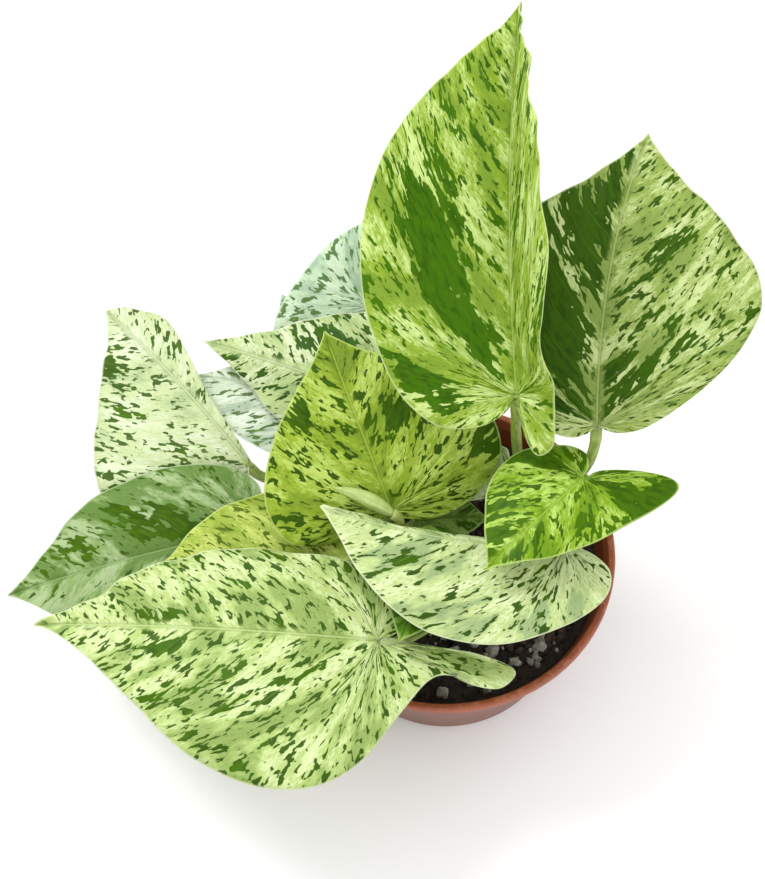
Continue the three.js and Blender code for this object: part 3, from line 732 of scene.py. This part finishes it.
def vertex_normals(points, faces):
    """The mean direction of the faces at each point, weighed by their size."""
    normals = np.zeros_like(points)
    for size in (3, 4):
        ring = np.array([f for f in faces if len(f) == size])
        if not len(ring):
            continue
        start, turn = points[ring[:, 0]], points[ring[:, 1]]
        if size == 3:
            across = np.cross(turn - start, points[ring[:, 2]] - start)
        else:
            across = np.cross(points[ring[:, 2]] - start, points[ring[:, 3]] - turn)
        for k in range(size):
            np.add.at(normals, ring[:, k], across)
    return unit(normals)


def relief(lf, values, seed):
    """How far the blade stands off its smooth form: quilting between the side veins, and a wavy margin."""
    across, reach, w = values[:, 0], values[:, 1], values[:, 2]
    phase = np.abs((across / QUILT_PITCH + 0.11 * np.sin(0.21 * across + seed)) % 1 - 0.5) * 2
    quilt = QUILT_HEIGHT * (1 - phase**6) * smoothstep(w, 0.02, 0.25) * (1 - smoothstep(w, 0.8, 1))
    wave = np.sin(0.22 * across + seed) + 0.6 * np.sin(0.47 * across + 2.1 * seed)
    wave = wave + 0.8 * np.sin(0.13 * across - 0.7 * seed + np.sign(reach))
    return quilt + WAVE_HEIGHT * lf["wave"] * wave * w**1.9


def close_blade(key, lf, look, seed):
    """The blade as a closed thin solid, with a groove over the midrib and a keel under it."""
    points, values, faces, normals = make_blade(lf, seed)
    across, reach, w, from_rib, from_margin = values.T
    place = across / (RUN_PER_RIB * lf["length"])
    along = np.clip(place, 0, 1)
    thin = BLADE_THICKNESS * (1 - 0.6 * smoothstep(w, 0.9, 1))
    groove = GROOVE_DEPTH * np.exp(-((from_rib / GROOVE_WIDTH) ** 2)) * (1 - 0.8 * along)
    keel = KEEL_DEPTH * np.exp(-((from_rib / KEEL_WIDTH) ** 2)) * (1 - 0.85 * along)
    keel = keel * smoothstep(w, 1.0, 0.4)
    top = points + normals * (thin / 2 - groove)[:, None]
    low = points - normals * (thin / 2 + keel)[:, None]
    count = len(points)
    edge = {}
    for ring in faces:
        for a, b in zip(ring, ring[1:] + ring[:1]):
            if (b, a) in edge:
                del edge[(b, a)]
            else:
                edge[(a, b)] = True
    shell = list(faces) + [tuple(i + count for i in ring[::-1]) for ring in faces]
    shell += [(a, a + count, b + count, b) for a, b in edge]
    field = np.zeros(count)
    for foot, mid, foot_size, mid_size, strength in look["patches"]:
        away = ((place - foot) / foot_size) ** 2 + ((np.sign(reach) * w - mid) / mid_size) ** 2
        field += strength * np.exp(-(away**1.5))
    vein = np.stack([across, reach, np.full(count, 13.7 * seed)], 1)
    skin = np.stack([field, from_rib, from_margin], 1)
    under = np.concatenate([np.zeros((count, 3)), np.ones((count, 3))])
    attributes = {"vein": np.tile(vein, (2, 1)), "skin": np.tile(skin, (2, 1)), "under": under}
    new_piece("blade_" + key, np.concatenate([top, low]), shell, blade_material(key, look),
              ["leaf_" + key], attributes)


# ---- Stems and stalks ----

def vine_path(name, count=60):
    root, top = VINES[name]
    foot = np.array([*root, SOIL_LEVEL - VINE_ROOT_DEPTH], float)
    tip = np.array(top, float)
    rise = np.array([0, 0, (tip[2] - foot[2]) / 2])
    return bezier((foot, foot + rise, tip - rise, tip), count)


def stalk_section(angle, share):
    """Round, with a shallow channel on top whose two edges run out before the blade."""
    wrapped = np.abs((angle + np.pi) % (2 * np.pi) - np.pi)
    channel = 0.22 * np.exp(-((wrapped / 0.45) ** 2))
    wing = 0.3 * np.exp(-(((wrapped - 0.75) / 0.22) ** 2)) * (1 - smoothstep(share, 0.45, 0.75))
    return 1 - channel + wing


def make_stalk(name, vine, node, end, arrive, tail, nodes, material):
    """A leaf stalk from its stem at the height node to end, and on along tail under the blade."""
    on_vine = vine_path(vine)
    start = on_vine[int(np.argmax(on_vine[:, 2] >= node))] if on_vine[-1, 2] > node else on_vine[-1]
    outward = unit((end - start) * [1, 1, 0])
    start = start + 0.6 * outward
    leave = unit(np.array([0, 0, 1.0]) + 0.5 * outward)
    reach = STALK_BOW * np.linalg.norm(end - start)
    path = bezier((start, start + leave * reach, end - arrive * reach, end), STALK_SAMPLES)
    share = np.linspace(0, 1, STALK_SAMPLES)
    radii = STALK_RADIUS * (1 + 0.45 * np.exp(-share / 0.06))
    radii = radii * (1 + 0.12 * np.exp(-(((share - 0.96) / 0.05) ** 2)))
    if len(tail):
        path = np.concatenate([path, tail])
        radii = np.concatenate([radii, np.linspace(0.8, 0.15, len(tail)) * STALK_RADIUS])
    path, radii, run = resample(path, radii, STALK_STEPS)
    for _ in range(2):
        path[1:-1] = (path[:-2] + 2 * path[1:-1] + path[2:]) / 4
    points, faces = tube(path, radii, STALK_SIDES, stalk_section, np.array([0.05, 0.1, 1.0]))
    marks = tube_marks(run, np.linspace(0, 1, len(path)), STALK_SIDES)
    new_piece(name, points, faces, material, nodes, {"run": marks})


def make_leaf_stalk(key, lf, material):
    ahead, _, up = [v[0] for v in rib_frame(lf, np.zeros(1))]
    slope = math.radians(lf["slope"])
    arrive = unit(ahead * (math.cos(slope) + 0.35) + up * math.sin(slope))
    end = np.asarray(lf["base"], float) - up * 1.3 - ahead * 0.6
    u = np.linspace(0.02, 0.13, 8)
    tail = rib_points(lf, u) - rib_frame(lf, u)[2] * np.linspace(1.1, 0.75, 8)[:, None]
    make_stalk("petiole_" + key, lf["vine"], lf["node"], end, arrive, tail, ["stalk_" + key], material)


def vine_section(angle, share):
    """Nearly round, with three faint ridges that wind up the stem."""
    return 1 + 0.04 * np.sin(3 * angle + 4 * share)


def make_vine(name, material):
    """A stem, thicker at the joints that its leaf stalks grow from and rounded off at the top."""
    path = vine_path(name, VINE_STEPS)
    heights = path[:, 2]
    radii = VINE_RADIUS * (0.92 + 0.05 * np.sin(heights * 0.9))
    for spot in [lf["node"] for lf in LEAVES.values() if lf["vine"] == name]:
        radii = radii + 0.5 * np.exp(-(((heights - spot + 1.5) / 1.3) ** 2))
    radii = radii * np.sqrt(np.clip((heights[-1] - heights) / 3.0, 0.02, 1))
    points, faces = tube(path, radii, VINE_SIDES, vine_section, np.array([1.0, 0.1, 0.0]))
    marks = tube_marks(heights - heights[0], np.linspace(0, 0.7, VINE_STEPS), VINE_SIDES)
    new_piece("vine_" + name, points, faces, material, ["stem_" + name], {"run": marks})


def spear_section(angle, share):
    """A spiral: the radius grows round the spindle and falls back at the rolled edge."""
    return 0.9 + 0.26 * (((angle + 1.3 * share + 0.4) / (2 * np.pi)) % 1)


def make_spear(material):
    """A young leaf rolled up: a spindle whose outer edge shows as a spiral step."""
    foot, tip = np.array(SPEAR["foot"], float), np.array(SPEAR["tip"], float)
    share = np.linspace(0, 1, SPEAR_STEPS)
    sway = np.sin(share * np.pi)[:, None] * np.array([0.3, 0.8, 0.9])
    path = foot + (tip - foot) * share[:, None] + sway
    profile = np.array(SPEAR_PROFILE)
    radii = np.interp(share, profile[:, 1], profile[:, 0]) * SPEAR["radius"]
    radii = np.convolve(np.pad(radii, 3, mode="edge"), np.ones(7) / 7, "valid")
    radii[0], radii[-1] = 0.5, 0.1
    points, faces = tube(path, radii, SPEAR_SIDES, spear_section, np.array([0.0, 0.1, 1.0]))
    marks = tube_marks(share * 20, 0.7 * share, SPEAR_SIDES)
    new_piece("rolled_blade", points, faces, material, ["rolled_leaf"], {"run": marks})


# ---- Pot and soil ----

INNER_RIM = POT_RIM_RADIUS - RIM_WIDTH
UNDER_RIM = POT_HEIGHT - RIM_DEPTH
RIM_SHOULDER = INNER_RIM + 0.3


def wall_radius(z):
    return POT_BASE_RADIUS + (RIM_SHOULDER - POT_BASE_RADIUS) / UNDER_RIM * z


def arc(centre_r, centre_z, radius, start, stop, steps):
    """Points of a profile, as (radius, height), round part of a circle."""
    angles = np.radians(np.linspace(start, stop, steps))
    return [(centre_r + radius * math.cos(a), centre_z + radius * math.sin(a)) for a in angles]


def make_pot(material):
    """One shell: from under the floor round the foot, up the wall, over the rim and down inside."""
    wall = [(wall_radius(z), z) for z in np.linspace(3.2, UNDER_RIM - 0.6, 16)]
    inside = [(wall_radius(z) - POT_WALL, z) for z in np.linspace(UNDER_RIM - 0.8, POT_FLOOR + 2, 12)]
    low = POT_BASE_RADIUS
    profile = [(low - 4.2, FLOOR_UNDERSIDE), (low - 3.4, 0.25)]
    profile += arc(low - 2.6, 0.5, 0.5, 250, 270, 3) + arc(low - 1.1, 1.1, 1.1, 275, 350, 7)
    profile += wall
    profile += arc(RIM_SHOULDER + 0.5, UNDER_RIM - 0.5, 0.5, 180, 90, 4)
    profile += arc(POT_RIM_RADIUS - 0.55, UNDER_RIM + 0.55, 0.55, 270, 360, 6)
    profile += arc(POT_RIM_RADIUS - 0.9, POT_HEIGHT - 0.9, 0.9, 5, 90, 7)
    profile += arc(INNER_RIM + 0.8, POT_HEIGHT - 0.8, 0.8, 90, 175, 7)
    profile += inside
    profile += arc(wall_radius(POT_FLOOR) - POT_WALL - 1.2, POT_FLOOR + 1.2, 1.2, 340, 270, 5)
    rings = len(profile)
    angles = np.linspace(0, 2 * np.pi, POT_SIDES, endpoint=False)
    r = np.array([p[0] for p in profile])[:, None]
    z = np.array([p[1] for p in profile])[:, None] + 0 * angles
    points = np.stack([r * np.cos(angles), r * np.sin(angles), z], -1).reshape(-1, 3)
    floor_top, floor_low = len(points), len(points) + 1
    points = np.concatenate([points, [[0, 0, POT_FLOOR], [0, 0, FLOOR_UNDERSIDE]]])
    faces = ring_faces(rings, POT_SIDES, floor_low, floor_top)
    drill_holes(new_piece("pot_shell", points, faces, material, ["pot"]))


def drill_holes(pot):
    """Cuts the drain holes through the pot's floor with upright prisms."""
    points, faces, sides = [], [], DRILL_SIDES
    for hole in range(DRAIN_HOLES):
        turn = (hole + 0.5) / DRAIN_HOLES * 2 * math.pi
        start = len(points)
        for z in (-3, 6):
            for j in range(sides):
                a = 2 * math.pi * (j + 0.5) / sides
                points.append((DRAIN_CIRCLE * math.cos(turn) + DRAIN_RADIUS * math.cos(a),
                               DRAIN_CIRCLE * math.sin(turn) + DRAIN_RADIUS * math.sin(a), z))
        ring = list(range(start, start + sides))
        faces.append(ring[::-1])
        faces.append([i + sides for i in ring])
        for j in range(sides):
            k = (j + 1) % sides
            faces.append([start + j, start + k, start + sides + k, start + sides + j])
    mesh = bpy.data.meshes.new("drills")
    mesh.from_pydata((np.array(points) * MM).tolist(), [], faces)
    drills = bpy.data.objects.new("drills", mesh)
    bpy.context.scene.collection.objects.link(drills)
    cut = pot.modifiers.new("holes", "BOOLEAN")
    cut.operation, cut.object, cut.solver = "DIFFERENCE", drills, "EXACT"
    graph = bpy.context.evaluated_depsgraph_get()
    made = bpy.data.meshes.new_from_object(pot.evaluated_get(graph))
    pot.modifiers.clear()
    pot.data = made
    bpy.data.objects.remove(drills)


def soil_height(x, y):
    """The soil's lumpy surface."""
    r = math.hypot(x, y)
    swell = 0.9 * noise.noise(Vector((x * 0.07, y * 0.07, 3.1)))
    lumps = 1.1 * noise.fractal(Vector((x * 0.2, y * 0.2, 7.7)), 1.0, 2.1, 4)
    edge = -1.2 * max(0.0, (r - 42) / 8) ** 2
    return SOIL_LEVEL + swell + lumps + edge


def make_soil(material):
    """The soil as a closed solid: lumpy on top, and just clear of the pot."""
    reach = wall_radius(SOIL_LEVEL) - POT_WALL - 0.05
    points = [(0, 0, soil_height(0, 0))]
    for i in range(1, SOIL_RINGS + 1):
        r = reach * (i / SOIL_RINGS) ** 0.8
        for j in range(SOIL_SIDES):
            a = 2 * math.pi * j / SOIL_SIDES
            x, y = r * math.cos(a), r * math.sin(a)
            points.append((x, y, soil_height(x, y)))
    for z in (SOIL_LEVEL - 6, POT_FLOOR + SOIL_GAP):
        r = wall_radius(z) - POT_WALL - SOIL_GAP
        for j in range(SOIL_SIDES):
            a = 2 * math.pi * j / SOIL_SIDES
            points.append((r * math.cos(a), r * math.sin(a), z))
    points.append((0, 0, POT_FLOOR + SOIL_GAP))
    faces = []
    for j in range(SOIL_SIDES):
        faces.append((0, 1 + j, 1 + (j + 1) % SOIL_SIDES))
    for i in range(SOIL_RINGS + 1):
        for j in range(SOIL_SIDES):
            k = (j + 1) % SOIL_SIDES
            a, b = 1 + i * SOIL_SIDES, 1 + (i + 1) * SOIL_SIDES
            faces.append((a + j, b + j, b + k, a + k))
    last = 1 + (SOIL_RINGS + 1) * SOIL_SIDES
    for j in range(SOIL_SIDES):
        faces.append((len(points) - 1, last + (j + 1) % SOIL_SIDES, last + j))
    new_piece("soil_bed", points, faces, material, ["soil"])


def ball(subdivisions):
    """Points and faces of a ball of radius 1."""
    shape = bmesh.new()
    bmesh.ops.create_icosphere(shape, subdivisions=subdivisions, radius=1)
    points = np.array([v.co for v in shape.verts])
    faces = [[v.index for v in f.verts] for f in shape.faces]
    shape.free()
    return points, faces


def make_grains(name, material, count, sizes, subdivisions, roughness, seed, sunk):
    """Loose lumps that lie on the soil, in one mesh."""
    rng = np.random.default_rng(seed)
    form, rings = ball(subdivisions)
    points, faces = [], []
    limit = wall_radius(SOIL_LEVEL) - POT_WALL - 1.6
    for _ in range(count):
        size = sizes[0] + (sizes[1] - sizes[0]) * rng.random() ** 2.4
        r, a = (limit - size) * math.sqrt(rng.random()), 2 * math.pi * rng.random()
        x, y = r * math.cos(a), r * math.sin(a)
        shift = rng.random(3) * 50
        bumps = np.array([noise.noise(Vector(p * 1.3 + shift)) for p in form])
        lump = form * (1 + roughness * bumps)[:, None] * (1 + 0.35 * (rng.random(3) - 0.5)) * size
        spin = Matrix.Rotation(2 * math.pi * rng.random(), 3, Vector(rng.normal(size=3)).normalized())
        lump = lump @ np.array(spin)
        start = len(form) * len(points)
        points.append(lump + [x, y, soil_height(x, y) + size * (0.75 - sunk * rng.random())])
        faces += [[i + start for i in ring] for ring in rings]
    new_piece(name, np.concatenate(points), faces, material, [])


# ---- Build ----

make_pot(pot_material())
make_soil(soil_material())
make_grains("perlite", perlite_material(), count=420, sizes=(0.5, 2.3), subdivisions=2,
            roughness=0.9, seed=11, sunk=0.6)
make_grains("peat_crumbs", crumb_material(), count=1500, sizes=(0.4, 1.7), subdivisions=1,
            roughness=0.8, seed=12, sunk=0.8)

stalk_skin = stalk_material("stalk_green", (176, 194, 96), (128, 152, 62), (196, 206, 116))
stem_skin = stalk_material("stem_green", (140, 160, 74), (98, 118, 50), (150, 168, 90))
spear_skin = stalk_material("rolled_green", (206, 222, 140), (178, 204, 112), (190, 212, 120))
for name in VINES:
    make_vine(name, stem_skin)
for number, (key, lf) in enumerate(LEAVES.items()):
    close_blade(key, lf, MARBLING[key], number + 1.0)
    make_leaf_stalk(key, lf, stalk_skin)
make_spear(spear_skin)
spear_foot, spear_tip = np.array(SPEAR["foot"], float), np.array(SPEAR["tip"], float)
spear_aim = unit(spear_tip - spear_foot)
make_stalk("petiole_rolled", SPEAR["vine"], SPEAR["node"], spear_foot + 0.8 * spear_aim, spear_aim, [],
           ["stalk_rolled_leaf"], stalk_skin)

# ---- Floor, light and camera ----

floor_mesh = bpy.data.meshes.new("floor")
corners = [(-1, -1), (1, -1), (1, 1), (-1, 1)]
corners = [(x * FLOOR_REACH, y * FLOOR_REACH, -FLOOR_DROP) for x, y in corners]
floor_mesh.from_pydata(corners, [], [(0, 1, 2, 3)])
floor_shader = Shader("floor_white")
floor_mesh.materials.append(floor_shader.finish((FLOOR_TONE, FLOOR_TONE, FLOOR_TONE, 1), 0.9))
floor = bpy.data.objects.new("floor", floor_mesh)
bpy.context.scene.collection.objects.link(floor)

world = bpy.data.worlds.new("studio")
bpy.context.scene.world = world
world.use_nodes = True
world.node_tree.nodes["Background"].inputs[0].default_value = (1, 1, 1, 1)
world.node_tree.nodes["Background"].inputs[1].default_value = WORLD_BRIGHTNESS


def area_light(name, place, size, power):
    """A round soft light that shines at the middle of the plant."""
    lamp = bpy.data.lights.new(name, "AREA")
    lamp.shape, lamp.size, lamp.energy = "DISK", size, power
    made = bpy.data.objects.new(name, lamp)
    made.location = place
    made.rotation_euler = (Vector(LAMP_TARGET) - Vector(place)).to_track_quat("-Z", "Y").to_euler()
    bpy.context.scene.collection.objects.link(made)


area_light("key", (-1.1, 0.9, 2.2), size=1.2, power=34)
area_light("fill", (1.1, -0.8, 1.6), size=1.6, power=5)

# The camera turns about the middle of the pot's rim, which it sees a little off its own axis.

rim = Vector((0, 0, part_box("pot")[1].z))
elevation = math.radians(CAMERA_ELEVATION)
back = Vector((0, -math.cos(elevation), math.sin(elevation)))
right = Vector((1, 0, 0))
upward = back.cross(right)
plain = Matrix((right, upward, back)).transposed().to_quaternion()
seen = Vector((math.tan(math.radians(RIM_RIGHT_OF_AIM)), -math.tan(math.radians(RIM_BELOW_AIM)), -1))
lens = bpy.data.cameras.new("camera")
lens.lens, lens.sensor_width = CAMERA_LENS, 36
camera = bpy.data.objects.new("camera", lens)
bpy.context.scene.collection.objects.link(camera)
camera.location = rim + back * (CAMERA_DISTANCE * MM)
camera.rotation_mode = "QUATERNION"
camera.rotation_quaternion = plain @ seen.normalized().rotation_difference(Vector((0, 0, -1)))
bpy.context.scene.camera = camera
bpy.context.scene.view_settings.view_transform = "Standard"

bpy.context.view_layer.update()
